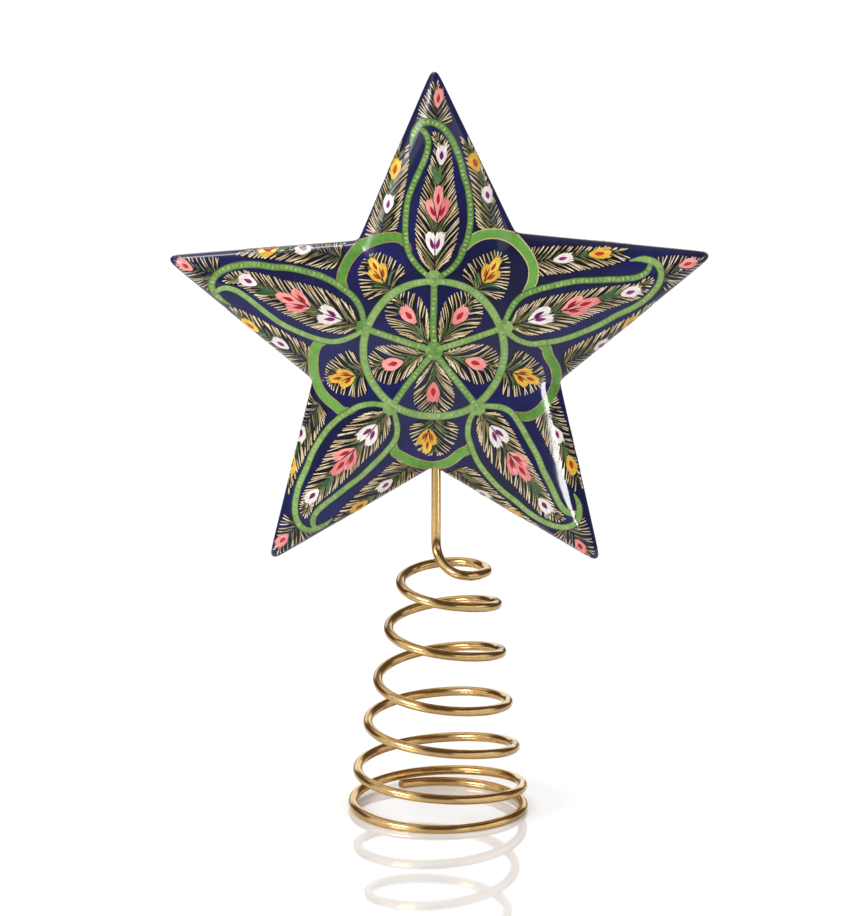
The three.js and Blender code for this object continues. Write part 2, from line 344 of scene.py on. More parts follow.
def starRing(piece, inset, scale, depth):
    # One outline of the star: a ten-sided circle with its corners drawn in and rounded
    middle = starCentre * mm - Vector((0, depth * mm, 0))
    corners = 2 * armCount
    bpy.ops.mesh.primitive_circle_add(
        vertices=corners, radius=meanTip * mm, fill_type="NGON",
        location=middle, rotation=(math.pi / 2, 0, 0),
    )
    first = len(bmesh.from_edit_mesh(piece.data).verts) - corners
    for i in range(corners):
        isTip = i % 2 == 0
        radius = star["tipRadii" if isTip else "notchRadii"][i // 2]
        radius = (radius - inset / math.sin(armAngle if isTip else notchAngle)) * scale
        pick(piece, lambda vert: vert.index == first + i)
        bpy.ops.transform.resize(value=[radius / meanTip] * 3, center_override=middle)
    tipCurve = max(star["tipRounding"] - inset, star["leastRounding"]) + star["ridgeSoftness"] * (1 - scale)
    notchCurve = star["notchRounding"] + inset + star["valleySoftness"] * (1 - scale)
    cuts = [
        (armAngle, tipCurve, lambda reach: reach > star["tipLimit"], star["tipCuts"]),
        (notchAngle, notchCurve, lambda reach: reach < star["notchLimit"], star["notchCuts"]),
    ]
    for angle, curve, test, segments in cuts:
        pick(piece, lambda vert: inRing(vert, middle.y)
             and test((vert.co - middle).length / scale / mm + inset * 2))
        bpy.ops.mesh.bevel(offset=scale * curve / math.tan(angle) * mm, segments=segments, affect="VERTICES")
    pick(piece, lambda edge: inRing(edge, middle.y)
         and edge.calc_length() > star["flankLength"] * scale * mm, "EDGE")
    bpy.ops.mesh.subdivide(number_cuts=star["flankCuts"])
    pick(piece, lambda face: inRing(face, middle.y), "FACE")
    bpy.ops.mesh.delete(type="ONLY_FACE")
    return middle.y


def starSkin(name, inset):
    # Closed skin of the whole star: rings from the seam to the middle, joined, then mirrored
    piece = emptyPiece(name)
    rim = star["rimRadius"] - inset
    scales = [1 - rim * (1 - math.cos(angle)) / flankDistance(inset) for angle in star["rimAngles"]]
    scales += [scales[-1] * share for share in star["crownRings"]]
    depths = []
    for scale in scales:
        depth = 0 if scale == 1 else starDepth(inset, scale)
        depths.append(starRing(piece, inset, scale, depth))
        if len(depths) > 1:
            pick(piece, lambda edge: any(inRing(edge, ring) for ring in depths[-2:]), "EDGE")
            bpy.ops.mesh.bridge_edge_loops()
    pick(piece, lambda edge: inRing(edge, depths[-1]), "EDGE")
    bpy.ops.mesh.select_mode(type="VERT")
    bpy.ops.mesh.extrude_region_move()
    bpy.ops.mesh.merge(type="CENTER")
    crown = starCentre * mm - Vector((0, starDepth(inset, 0) * mm, 0))
    mesh = bmesh.from_edit_mesh(piece.data)
    hub, nearest = min(((vert.index, vert.co.copy()) for vert in mesh.verts),
                       key=lambda found: (found[1] - crown).length)
    pick(piece, lambda vert: vert.index == hub)
    bpy.ops.transform.translate(value=crown - nearest)
    bpy.ops.object.mode_set(mode="OBJECT")
    applyModifier(piece, "MIRROR", use_axis=(False, True, False), merge_threshold=1e-6)
    applyModifier(piece, "SUBSURF", levels=1, render_levels=1)
    faceOutwards(piece, inside=inset > 0)
    return piece


def halfShell(whole, name, side):
    # side is -1 for the front half, 1 for the back
    half = copyOf(whole, name)
    cutOff(half, (0, side * star["seamGap"] * mm, 0), (0, -side, 0))
    deselectAll()
    holePlace = starCentre + Vector((star["stemX"], 0, star["holeHeight"]))
    bpy.ops.mesh.primitive_cylinder_add(
        vertices=star["holeSides"], radius=star["holeRadius"] * mm, depth=star["holeLength"] * mm,
        location=holePlace * mm,
    )
    drill = bpy.context.active_object
    applyModifier(half, "BOOLEAN", operation="DIFFERENCE", solver="EXACT", object=drill)
    bpy.data.objects.remove(drill)
    return half


# The gloss lacquer over ground and ornament
lacquer = {"roughness": 0.5, "specularIorLevel": 0.15, "coatWeight": 1, "coatIor": 1.42}

ground = {
    "blues": (srgb(5, 10, 54), srgb(18, 23, 92)),
    "cloudScale": 55,
    "brushed": srgb(4, 8, 38),
    "brushScale": 420,
    "brushShare": 0.4,
    "worn": srgb(110, 108, 104),
    "wornShare": 0.75,
    "wornReach": (0.0672, 0.0705),  # from the star's middle, in m
    "wornUneven": 0.003,
    "waveStrength": 0.25,
    "waveHeight": 0.0004,
    "coatRoughness": 0.04,
}


def paintGround():
    # Dark blue ground under the lacquer, uneven as laid by brush, worn grey at the arms' ends
    shader = Shader("lacquerBlue")
    place = shader.objectPlace()
    cloud = shader.noise(place, ground["cloudScale"], 4)
    brush = shader.noise(place, ground["brushScale"])
    blue = shader.mix(shader.step(cloud, 0.32, 0.7), *ground["blues"])
    blue = shader.mix(shader.step(brush, 0.45, 0.75) * ground["brushShare"], blue, ground["brushed"])
    middle = tuple(starCentre * mm)
    reach = shader.node("ShaderNodeVectorMath", {"operation": "DISTANCE"}, {0: place, 1: middle}, "Value")
    worn = shader.step(reach + brush * ground["wornUneven"], *ground["wornReach"]) * ground["wornShare"]
    wave = shader.bump(cloud, ground["waveStrength"], ground["waveHeight"])
    return shader.surface(baseColor=shader.mix(worn, blue, ground["worn"]), normal=wave,
                          coatRoughness=ground["coatRoughness"], **lacquer)


brushwork = {
    "toneShare": 0.45,
    "grainScale": 900,
    "patchScale": 300,
    "unevenShare": 0.7,
    "darkening": (0.6, 1.25),
    "coatRoughness": 0.06,
}


def paintFinish(name, light, dark):
    # A hand-painted colour under the same lacquer: each stroke has its own tone
    shader = Shader(name)
    place = shader.objectPlace()
    tone = shader.node("ShaderNodeAttribute", {"attribute_name": "tone"}, output="Fac")
    grain = shader.noise(place, brushwork["grainScale"])
    patches = shader.noise(place, brushwork["patchScale"])
    uneven = grain * brushwork["unevenShare"] + patches * brushwork["unevenShare"]
    share = shader.step(tone * brushwork["toneShare"] + uneven, *brushwork["darkening"])
    return shader.surface(baseColor=shader.mix(share, light, dark),
                          coatRoughness=brushwork["coatRoughness"], **lacquer)


blueGround = paintGround()
outerSkin = starSkin("outerSkin", 0)
print("outer skin of the star made")
innerSkin = starSkin("innerSkin", star["wall"])
choose(outerSkin)
innerSkin.select_set(True)
bpy.ops.object.join()
frontHalf = halfShell(outerSkin, "frontHalf", -1)
backHalf = halfShell(outerSkin, "backHalf", 1)
bpy.data.objects.remove(outerSkin)
starPieces = bpy.data.collections.new("starPieces")  # some lamps light only the gloss of these
for half, node in ((frontHalf, "front_shell"), (backHalf, "back_shell")):
    finishPiece(half, blueGround, star["smoothAngle"], "star")
    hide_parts(node)
    starPieces.objects.link(half)
print("star shells made:", len(frontHalf.data.polygons), "and", len(backHalf.data.polygons), "faces")


# Painted ornament: buds, plumes and curled bands, drawn by brush in low relief
ornament = {
    "seed": 7,
    "hubRadius": 2.1,
    "circleRadius": 16.5,
    "bandWidth": 1.62,
    "curlWidth": 1.2,
    "lobeWidth": 2.0,
    "outline": 0.23,
    "bandEdge": 0.18,
    "dashGap": 1.05,
    "dashSize": (0.5, 0.8),
    "creamWidth": 0.25,
    "oliveWidth": 0.28,
    "shadeWidth": 0.84,
    "liftUneven": 0.004,
    "sunk": 0.03,  # how far each stroke's underside is in the shell
    "rayStart": 30,  # from the seam, well outside the shell
    # a point off the shell, or on its rim, is drawn in by a little, and tried again
    "flattest": 0.12,
    "drawnIn": 0.992,
    "tries": 30,
    "smoothAngle": 35,
    # the arm and the notch that the lines below are drawn for; on longer ones they are stretched
    "drawnTip": 67.8,
    "drawnNotch": 30.9,
    "notchInset": 0.9,
    # each line's points: (along the arm, or the notch's line, from the middle; across it, clockwise)
    "curlOuter": [(17.4, 0.9), (19.3, 3.9), (21.9, 6), (24.9, 7.2), (27.4, 8), (30.5, 8.45), (34.3, 8.4),
                  (38.3, 7.9), (41.8, 6.9), (46, 5.9), (49, 4.75), (52, 3.1), (53.85, 1.3), (54.7, -0.7),
                  (54.4, -2.6), (52.8, -4.1), (50.8, -5), (48.7, -5.4)],
    "curlInner": [(17.4, -0.9), (19, -2.7), (20.9, -4.5), (23.3, -5.9), (26.8, -6.6), (31.4, -6.6),
                  (35.9, -6.05), (39.5, -4.85), (43, -3.35), (46.3, -2), (49, -1.35), (51.2, -1.6),
                  (52.5, -2.5), (53, -3.4)],
    "lobeArc": [(21.5, -8.4), (24, -8.5), (26.5, -8), (28.8, -6.4), (30.3, -3.6), (30.8, 0), (30.3, 4.2),
                (28.8, 7.4), (26.5, 9.1), (24.2, 9.5), (21.5, 9)],
    # drawn by hand, so each is a little different: how far each lobe's corners are cut off, and how far
    # each arm's curls lie nearer the middle, on the anticlockwise side and on the clockwise side
    "lobeCuts": [(0.4, 0), (3, 0.4), (3.4, 1.8), (2, 0.9), (0.8, 0.6)],
    "curlShifts": [(0, 0), (1.1, 1.1), (2, 0.3), (1.5, 0.1), (0.4, 0.4)],
    "lobeBuds": [0, 0.4, 1.7, -0.4, 0.2],
    "tipBuds": [(60.3, 0.9), (61, -0.4), (60.3, 0.9), (60.3, 0.9), (62, 0.1)],
    # buds: (place, petals, length, width, colour, heading)
    "paisleyBuds": [((25.8, 0.2), 2, 5.8, 2.55, "white", 0), ((35.2, 0.85), 3, 8.8, 2.3, "pink", 0.03),
                    ((46.8, 1.75), 1, 4.6, 2.7, "white", 0.05)],
    "flankBuds": [((36.6, 12.3), 1, 4, 2.5, "white", -0.3), ((44.4, 9.5), 1, 4.6, 2.6, "yellow", -0.38),
                  ((34.6, -10.7), 1, 4.5, 2.3, "white", 0.2), ((42.8, -8.9), 1, 5, 2.3, "yellow", 0.3)],
    # where the barbs of a plume end, on each side
    "paisleyRight": [(20, 1.2), (21.7, 3.5), (24.2, 4.6), (26.6, 5.3), (31.1, 5.8), (36.3, 5.3),
                     (39.6, 4.85), (43, 4.55), (46.4, 4.05), (48.6, 3.7), (50.2, 2.6)],
    "paisleyLeft": [(20, -1.2), (20.7, -2.3), (22.4, -3.4), (24.2, -3.9), (27.8, -4.4), (30.5, -4.2),
                    (33.9, -3.7), (37, -3.1), (40.8, -2.1), (45.7, -0.7), (48.4, 0), (50.2, 1.4)],
    "endEdge": [(49, 3.5), (50.8, 2.7), (52.2, 1.3), (52.6, 0), (51.4, -0.5), (50, -0.2), (48.6, 0.4)],
    "pieEdge": [(3, 0.8), (6, 2.9), (8.4, 4.2), (11, 4.8), (13, 4.6), (14.8, 3.3), (15.6, 1.5), (15.8, 0.3)],
    "lobeEdge": [(18.2, 4.6), (19.2, 5.7), (21.3, 5.5), (23.6, 4.6), (25.6, 3.4), (27, 1.8), (27.5, 0.3)],
    "leftInner": [(27.4, -9.2), (30, -8.3), (32, -8), (36, -7.2), (41, -6.4), (45, -5.8), (49, -5.9)],
    "leftOuter": [(26.4, -16.2), (29.4, -15.2), (33, -14.1), (37, -12.7), (41, -11.2), (45.5, -9.4),
                  (49.5, -7.6)],
    "rightInner": [(28, 11), (30.4, 9.9), (34, 9.5), (38, 8.9), (43, 8), (47, 7), (51, 6)],
    "rightOuter": [(27, 17), (30.2, 15.8), (33, 15), (37, 13.5), (41, 12), (46, 10), (51, 7.6)],
    "tipLeft": [(54.8, -4), (57, -3.6), (59.4, -2.7), (61.6, -1.8), (64.6, -0.2)],
    "tipRight": [(54.2, 4.4), (56.6, 3.8), (59.5, 2.8), (62, 1.8), (64.4, 0.7)],
}

plumes = {
    # name: (midrib, how far a barb runs along for each mm across, where the plume begins, bow, gap of barbs)
    "pie": ([(0, 0), (20, 0)], [(4, 1.9), (12, 1.3)], 2.2, 0.12, 0.84),
    "lobe": ([(0, 0), (40, 0)], [(18, 0.3), (20, 0.55), (26, 1)], 17.2, 0.06, 0.86),
    "paisley": ([(18, 0), (29.4, 0.4), (39.8, 0.95), (47, 1.75), (51, 2)],
                [(20, 1.2), (32, 1.4), (45, 1.75)], 18.6, 0.03, 0.85),
    "end": ([(47, 1.75), (52.6, 0.1)], [(48, 0.9), (53, 1.2)], 47.5, 0.03, 0.8),
    "left": ([(25, -13), (28, -12.2), (32.6, -11.5), (35.2, -10.7), (39, -10.1), (43.7, -8.8), (50, -7.2)],
             [(30, 1.2), (45, 1.6)], 27, 0, 0.85),
    "right": ([(25.4, 13.8), (29, 13.4), (33.3, 13), (36.8, 12.4), (41.1, 11.1), (44.8, 9.4), (50, 7.3)],
              [(30, 1.2), (45, 1.6)], 27.6, 0, 0.85),
    "tip": ([(54.4, 0.6), (64.6, 0.4)], [(54, 1.1), (63, 1.5)], 54.2, 0, 0.95),
}

budColours = {
    # name: (petals, heart)
    "pink": ("pinkPaint", "crimsonPaint"),
    "yellow": ("yellowPaint", "rustPaint"),
    "white": ("whitePaint", "plumPaint"),
}

paints = {
    # name: (light tone, dark tone, height of the stroke's top over the shell in mm)
    "shadePaint": (srgb(20, 15, 10), srgb(6, 5, 6), 0.03),
    "olivePaint": (srgb(144, 136, 86), srgb(66, 74, 40), 0.045),
    "creamPaint": (srgb(244, 226, 190), srgb(186, 158, 112), 0.06),
    "goldEdgePaint": (srgb(218, 198, 140), srgb(162, 128, 76), 0.07),
    "grassPaint": (srgb(112, 168, 74), srgb(78, 136, 48), 0.082),
    "greenEdgePaint": (srgb(82, 110, 56), srgb(44, 72, 34), 0.096),
    "greenPaint": (srgb(144, 176, 104), srgb(88, 134, 56), 0.11),
    "leafPaint": (srgb(84, 128, 84), srgb(44, 82, 54), 0.112),
    "limePaint": (srgb(170, 192, 124), srgb(124, 156, 82), 0.132),
    "pinkPaint": (srgb(248, 168, 160), srgb(228, 122, 124), 0.134),
    "yellowPaint": (srgb(246, 212, 84), srgb(218, 168, 50), 0.134),
    "whitePaint": (srgb(252, 246, 238), srgb(228, 218, 216), 0.134),
    "crimsonPaint": (srgb(188, 14, 40), srgb(150, 6, 28), 0.15),
    "rustPaint": (srgb(208, 60, 12), srgb(166, 34, 8), 0.15),
    "plumPaint": (srgb(150, 20, 122), srgb(106, 6, 88), 0.15),
    "linePaint": (srgb(38, 24, 20), srgb(20, 12, 12), 0.156),
}

profiles = {
    "hair": [0.5, 1, 1, 0.85, 0.3],
    "brush": [0.25, 0.7, 1, 1.05, 0.8],
    "blade": [0.3, 0.85, 1, 0.7, 0.12],
    "lobe": [0.3, 0.85, 1, 1, 1, 1, 1, 1, 0.85, 0.3],
    "petal": [0.22, 0.62, 0.92, 1, 0.86, 0.55, 0.1],
    "round": [0.45, 0.87, 1, 0.87, 0.45],
    "patch": [0.7, 1, 1, 0.7],
    "band": [0.8, 1, 1, 1, 1, 1, 1, 1, 1, 0.8],
    "tail": [0.9, 1, 1, 1, 1, 1, 1, 1.05, 1.1, 1.15, 1, 0.25],
}


def turned(turn, along, across):
    # (along a line from the middle, across it clockwise) in the drawing's (right, up)
    right = along * math.sin(turn) + across * math.cos(turn)
    return Vector((right, along * math.cos(turn) - across * math.sin(turn)))


def armPlace(arm, tipRadius):
    # The drawing's places on one arm, stretched from the circle outwards
    turn = arm * 2 * armPitch
    stretch = (tipRadius - ornament["drawnTip"]) / 50
    return lambda along, across: turned(turn, along + stretch * max(along - 17, 0), across)


def notchPlace(notch, notchRadius):
    # The drawing's places at one notch, stretched over the lobe's outer 6 mm
    turn = (notch + 0.5) * 2 * armPitch
    stretch = (notchRadius - ornament["notchInset"] - ornament["drawnNotch"]) / 6
    return lambda along, across: turned(turn, along + stretch * min(max(along - 25, 0), 6), across)


class Drawing:
    # The strokes of one side of the star, by paint
    def __init__(self, seed, tips, notches):
        self.chance = random.Random(seed)
        self.marks = {name: [] for name in paints}
        self.tips = tips
        self.notches = notches

    def wobble(self, amount):
        return self.chance.uniform(-amount, amount)

    def stroke(self, paint, points, width, profile="hair", steps=3, rows=2):
        path = smoothPath(points, steps)
        self.marks[paint].append((path, width, profiles[profile], rows))

    def barb(self, place, root, end, bow):
        # One barb of a plume: a dark shadow, a dull inner part and a bright outer end
        run = end - root
        bow += self.wobble(0.07)
        middle = (root + end) / 2 + Vector((bow * abs(run.y), -bow * run.y))
        curve = smoothPath([root, middle, end], 4)
        below = Vector((-0.4, 0))
        self.stroke("shadePaint", [place(*(point + below)) for point in curve[::2]],
                    ornament["shadeWidth"] * self.chance.uniform(0.8, 1.2), "hair", 1)
        inner = self.chance.choice((5, 6, 7))
        self.stroke("olivePaint", [place(*point) for point in curve[:inner]],
                    ornament["oliveWidth"] * self.chance.uniform(0.8, 1.15), "hair", 1)
        self.stroke("creamPaint", [place(*point) for point in curve[self.chance.choice((3, 4, 4, 5)):]],
                    ornament["creamWidth"] * self.chance.uniform(0.75, 1.2), "brush", 1)

    def plume(self, place, name, edge):
        # Barbs from the midrib to one edge of a plume, with their ends evenly spaced along that edge
        rib, slope, floor, bow, gap = plumes[name]
        path = smoothPath(edge, 8)
        travelled = 0
        due = gap * self.chance.uniform(0.2, 0.8)
        for start, end in zip(path, path[1:]):
            travelled += (end - start).length
            if travelled < due:
                continue
            due += gap * self.chance.uniform(0.85, 1.15)
            end = end + Vector((self.wobble(0.22), self.wobble(0.12)))
            half = end.y - tableValue(rib, end.x)
            side = 1 if half > 0 else -1
            along = max(end.x - max(tableValue(slope, end.x) * abs(half), 2), floor + self.wobble(0.2))
            root = Vector((along, tableValue(rib, along) + side * 0.12))
            self.barb(place, root, end, bow)

    def evenPlume(self, place, name, edge):
        # The same on both sides of a straight midrib
        for side in (-1, 1):
            self.plume(place, name, [(along, side * across) for along, across in edge])

    def petal(self, place, base, heading, length, width, paint, heart):
        ray = Vector((math.cos(heading), math.sin(heading)))
        out = Vector((-ray.y, ray.x))
        base = Vector(base)
        self.stroke(paint, [place(*(base + ray * length * share)) for share in (0, 0.3, 0.6, 0.85, 1)],
                    width, "petal", 2, 4)
        for spread in (-0.55, -0.15, 0.3, 0.6):
            start = base + ray * length * 0.66 + out * width * spread * 0.5
            tip = start + ray * length * self.chance.uniform(0.28, 0.4) + out * width * spread * 0.12
            self.stroke(paint, [place(*start), place(*tip)], width * 0.2, "blade", 3)
        self.stroke(heart, [place(*(base + ray * length * share)) for share in (0.26, 0.45, 0.72)],
                    width * 0.36, "petal", 3, 3)

    def bud(self, place, centre, petals, length, width, colour, heading):
        # petals: 1, a pair, or a middle one that stands behind two spread ones
        paint, heart = budColours[colour]
        shapes = {
            1: [(0, 0, 1)],
            2: [(-0.27, 0, 1), (0.25, 0, 1)],
            3: [(0, 0.3, 0.7), (-0.42, 0, 0.66), (0.42, 0, 0.68)],
        }[petals]
        ray = Vector((math.cos(heading), math.sin(heading)))
        base = Vector(centre) - ray * length * 0.5
        for turn, start, size in shapes:
            self.petal(place, base + ray * length * start, heading + turn + self.wobble(0.05),
                       length * size, width, paint, heart)
        for turn in {1: [], 2: [0], 3: [-0.2, 0.2]}[petals]:
            line = Vector((math.cos(heading + turn), math.sin(heading + turn)))
            shares = (-0.06, 0.3, 0.8 if petals == 2 else 0.56)
            self.stroke("linePaint", [place(*(base + line * length * share)) for share in shares],
                        0.3, "blade", 2)

    def band(self, path, width, profile="band", steps=1):
        # A green band with a darker edge
        self.stroke("greenEdgePaint", path, width + 2 * ornament["bandEdge"], profile, steps, 4)
        self.stroke("greenPaint", path, width, profile, steps, 4)

    def dashes(self, path):
        # Light patches along the middle of a green band
        size, width = ornament["dashSize"]
        travelled = 0
        due = ornament["dashGap"]
        for start, end in zip(path, path[1:]):
            travelled += (end - start).length
            if travelled >= due:
                due += ornament["dashGap"] * self.chance.uniform(0.85, 1.15)
                along = (end - start).normalized()
                spot = end + Vector((-along.y, along.x)) * self.wobble(0.15)
                leaned = along + Vector((-along.y, along.x)) * self.wobble(0.35)
                half = leaned.normalized() * size * self.chance.uniform(0.35, 0.6)
                self.stroke("limePaint", [spot - half, spot + half], width, "patch", 3)

    def drawHub(self):
        size = ornament["hubRadius"]
        self.stroke("greenPaint", [(0, -size), (0, 0), (0, size)], 2 * size, "round", 4, 5)
        circle = []
        for i in range(61):
            turn = i * math.pi / 30
            circle.append(turned(turn, ornament["circleRadius"] * (1 + 0.006 * math.sin(3 * turn + 1)), 0))
        self.band(circle, ornament["bandWidth"], "band", 3)
        self.dashes(smoothPath(circle, 8))
        for arm in range(armCount):
            place = armPlace(arm, self.tips[arm])
            spoke = [place(along, self.wobble(0.25)) for along in (0.5, 6, 11, 17.5)]
            self.band(spoke, ornament["bandWidth"] * 0.8, "band", 6)
            self.dashes(smoothPath(spoke, 30))
            self.stroke("greenPaint", [place(15.6, 0), place(17.4, 0), place(19.2, 0)], 3.6, "round", 4, 5)

    def drawPie(self, notch):
        # A plume between two spokes
        place = notchPlace(notch, self.notches[notch])
        self.evenPlume(place, "pie", ornament["pieEdge"])
        self.bud(place, (10.3, self.wobble(0.3)), 1, 5, 3.2, "pink", self.wobble(0.12))
        self.stroke("leafPaint", [place(4.2, 0), place(6, 0.1), place(7.8, 0)], 0.6, "blade")

    def drawLobe(self, notch):
        # The arc round a notch, its corners cut off, with a plume and a bud inside
        place = notchPlace(notch, self.notches[notch])
        before, after = ornament["lobeCuts"][notch]
        arc = []
        for along, across in ornament["lobeArc"]:
            cut = (before if across < 0 else after) * min((across / 6.5) ** 2, 1)
            arc.append(place(along - cut * max((along - 23.5) / 6, 0), across))
        arc = smoothPath(arc, 9)
        self.stroke("goldEdgePaint", arc, ornament["lobeWidth"] + 2 * ornament["outline"], "lobe", 1, 8)
        self.stroke("grassPaint", arc, ornament["lobeWidth"], "lobe", 1, 8)
        self.evenPlume(place, "lobe", ornament["lobeEdge"])
        aside = ornament["lobeBuds"][notch] + self.wobble(0.3)
        self.bud(place, (23, aside), 3, 6.6, 2.2, "yellow", self.wobble(0.15))
        for side in (-1, 1):
            leaf = [place(18.4, side * 0.4), place(20.2, side * 2.2), place(20.6, side * 4)]
            self.stroke("leafPaint", leaf, 0.5, "blade")

    def drawCurl(self, arm):
        plain = armPlace(arm, self.tips[arm])
        before, after = ornament["curlShifts"][arm]

        def place(along, across):
            # Each curl drawn in towards the middle, most of all half way along
            swell = max(1 - ((along - 35) / 13) ** 2, 0) * min(abs(across) / 5, 1)
            return plain(along, across + swell * (before if across < 0 else -after))

        for name, profile in (("curlInner", "band"), ("curlOuter", "tail")):
            path = smoothPath([place(*point) for point in ornament[name]], 7)
            self.band(path, ornament["curlWidth"], profile)
            self.dashes(smoothPath(path, 4)[6:-26])
        self.plume(place, "paisley", ornament["paisleyLeft"])
        self.plume(place, "paisley", ornament["paisleyRight"])
        self.plume(place, "end", ornament["endEdge"])
        for bud in ornament["paisleyBuds"]:
            self.bud(place, *bud)
        for turn, length in ((-0.32, 5.4), (0.1, 4.8)):
            leaf = [Vector((39.8, 1)) + Vector((math.cos(turn), math.sin(turn))) * length * share
                    for share in (0, 0.5, 1)]
            self.stroke("leafPaint", [place(*point) for point in leaf], 0.9, "blade", 3)
        self.stroke("leafPaint", [place(29, 0.4), place(30.6, 0.5), place(32, 0.6)], 0.5, "blade")

    def drawFlanks(self, arm):
        # The plumes along an arm's two sides
        place = armPlace(arm, self.tips[arm])
        for name in ("left", "right"):
            self.plume(place, name, ornament[name + "Inner"])
            self.plume(place, name, ornament[name + "Outer"])
        for bud in ornament["flankBuds"]:
            self.bud(place, *bud)
        for along, across, turn in ((39.6, 11.4, -0.35), (38, -10.2, 0.2)):
            self.stroke("leafPaint", [place(along, across), place(along + 1.4, across + turn * 1.4),
                                      place(along + 2.8, across + turn * 2.8)], 0.7, "blade", 3)

    def drawTip(self, arm):
        place = armPlace(arm, self.tips[arm])
        self.plume(place, "tip", ornament["tipLeft"])
        self.plume(place, "tip", ornament["tipRight"])
        self.bud(place, ornament["tipBuds"][arm], 1, 4.2, 2.2, "pink", 0.08)

    def drawAll(self):
        for notch in range(armCount):
            self.drawPie(notch)
            self.drawLobe(notch)
        for arm in range(armCount):
            self.drawFlanks(arm)
            self.drawTip(arm)
            self.drawCurl(arm)
        self.drawHub()


def surfaceUnder(tree, right, up, side):
    # The shell under a point of the drawing, drawn in a little where that is off the edge
    for attempt in range(ornament["tries"]):
        start = Vector((starCentre.x - side * right, side * ornament["rayStart"], starCentre.z + up)) * mm
        spot, normal = tree.ray_cast(start, Vector((0, -side, 0)))[:2]
        if spot and abs(normal.y) > ornament["flattest"]:
            return spot, normal
        right *= ornament["drawnIn"]
        up *= ornament["drawnIn"]
    return None, None


def strokeSections(tree, side, lift, path, width, profile, rows):
    # Cross sections of a stroke's low ribbon, or nothing if a part of it has no shell under it
    count = len(path)
    sections = []
    for i, point in enumerate(path):
        along = (path[min(i + 1, count - 1)] - path[max(i - 1, 0)]).normalized()
        across = Vector((along.y, -along.x))
        share = i / (count - 1) * (len(profile) - 1)
        low = min(int(share), len(profile) - 2)
        half = width / 2 * (profile[low] + (profile[low + 1] - profile[low]) * (share - low))
        tops, bottoms = [], []
        for row in range(rows):
            shift = half * (2 * row / (rows - 1) - 1)
            spot, normal = surfaceUnder(tree, *(point + across * shift), side)
            if spot is None:
                return []
            tops.append(spot + normal * lift)
            if row in (0, rows - 1):
                bottoms.append(spot - normal * ornament["sunk"] * mm)
        sections.append(tops + bottoms[::-1])
    return sections


def layStrokes(name, marks, tree, side, chance):
    # One mesh of closed ribbons, with a tone of its own for each
    height = paints[name][2]
    verts, faces, tones = [], [], []
    for path, width, profile, rows in marks:
        lift = (height + chance.uniform(-ornament["liftUneven"], ornament["liftUneven"])) * mm
        tone = chance.random()
        first = len(verts)
        sections = strokeSections(tree, side, lift, path, width, profile, rows)
        if not sections:
            continue
        size = rows + 2
        for section in sections:
            verts.extend(section)
            tones.extend([tone] * size)
        for i in range(len(path) - 1):
            start = first + i * size
            for k in range(size):
                near, beside = start + k, start + (k + 1) % size
                faces.append((near, near + size, beside + size, beside))
        faces.append(tuple(range(first, first + size)))
        faces.append(tuple(reversed(range(len(verts) - size, len(verts)))))
    pieceName = name + ("Front" if side < 0 else "Back")
    mesh = bpy.data.meshes.new(pieceName)
    mesh.from_pydata([tuple(vert) for vert in verts], [], faces)
    mesh.attributes.new("tone", "FLOAT", "POINT").data.foreach_set("value", tones)
    piece = bpy.data.objects.new(pieceName, mesh)
    bpy.context.scene.collection.objects.link(piece)
    faceOutwards(piece)
    return piece


finishes = {name: paintFinish(name, light, dark) for name, (light, dark, height) in paints.items()}
# The star's radii run anticlockwise from the front, so clockwise from the back
tipsClockwise = [star["tipRadii"][-arm] for arm in range(armCount)]
notchesClockwise = star["notchRadii"][::-1]
sides = (
    (-1, frontHalf, tipsClockwise, notchesClockwise),
    (1, backHalf, star["tipRadii"], star["notchRadii"]),
)
for side, half, tips, notches in sides:
    drawing = Drawing(ornament["seed"] + side, tips, notches)
    drawing.drawAll()
    mesh = bmesh.new()
    mesh.from_mesh(half.data)
    tree = BVHTree.FromBMesh(mesh)
    mesh.free()
    for name, marks in drawing.marks.items():
        piece = layStrokes(name, marks, tree, side, drawing.chance)
        finishPiece(piece, finishes[name], ornament["smoothAngle"], "star")
        starPieces.objects.link(piece)
    print("ornament laid, strokes:", sum(len(marks) for marks in drawing.marks.values()))


# The wire: foot, spring, neck and stem, one unbroken look
wire = {
    "radius": 1.15,
    "restHeight": 0.65,
    "turnRadii": [8.6, 11.75, 13.55, 15.6, 17.55, 19.7, 20.4, 20.4],
    "halfTurnHeights": [58.3, 57.6, 53.3, 47, 41.7, 35, 28.7, 23.4, 18.8, 11.3, 8, 2.7, 0.65, 0.65, 0.65],
    "turns": 6.585,
    "endInset": 2.8,
    "endInsetTurns": (6.18, 6.5),
    "start": 0.25,
    "footCentreX": 1.1,
    "lean": 2.2,
    "stemX": 0.5,
    "stemFoot": 65.8,
    "twistHeight": 67.8,
    "twistGap": 0.015,
    "hookFoot": 100.2,
    "hookRadius": 2.5,
    "hookEnd": 2.6,
    "neckForward": 6,
    "neckShares": [(0.67, 1, 0.08), (0.37, 0.92, 0.15), (0.14, 0.5, 0.35), (0.02, 0.1, 0.66)],
    "pointsPerTurn": 96,
    "bevelSteps": 6,
    "smoothAngle": 50,
    # where the spring bends: number, turn, body below, body above, node that the upper half replaces
    "bends": [
        (1, 4.5, "foot", "turn_1", "spring_turn_1"),
        (2, 3.5, "turn_1", "turn_2", "spring_turn_2"),
        (3, 2.5, "turn_2", "turn_3", "spring_turn_3"),
        (4, 1.5, "turn_3", "neck", None),
    ],
}


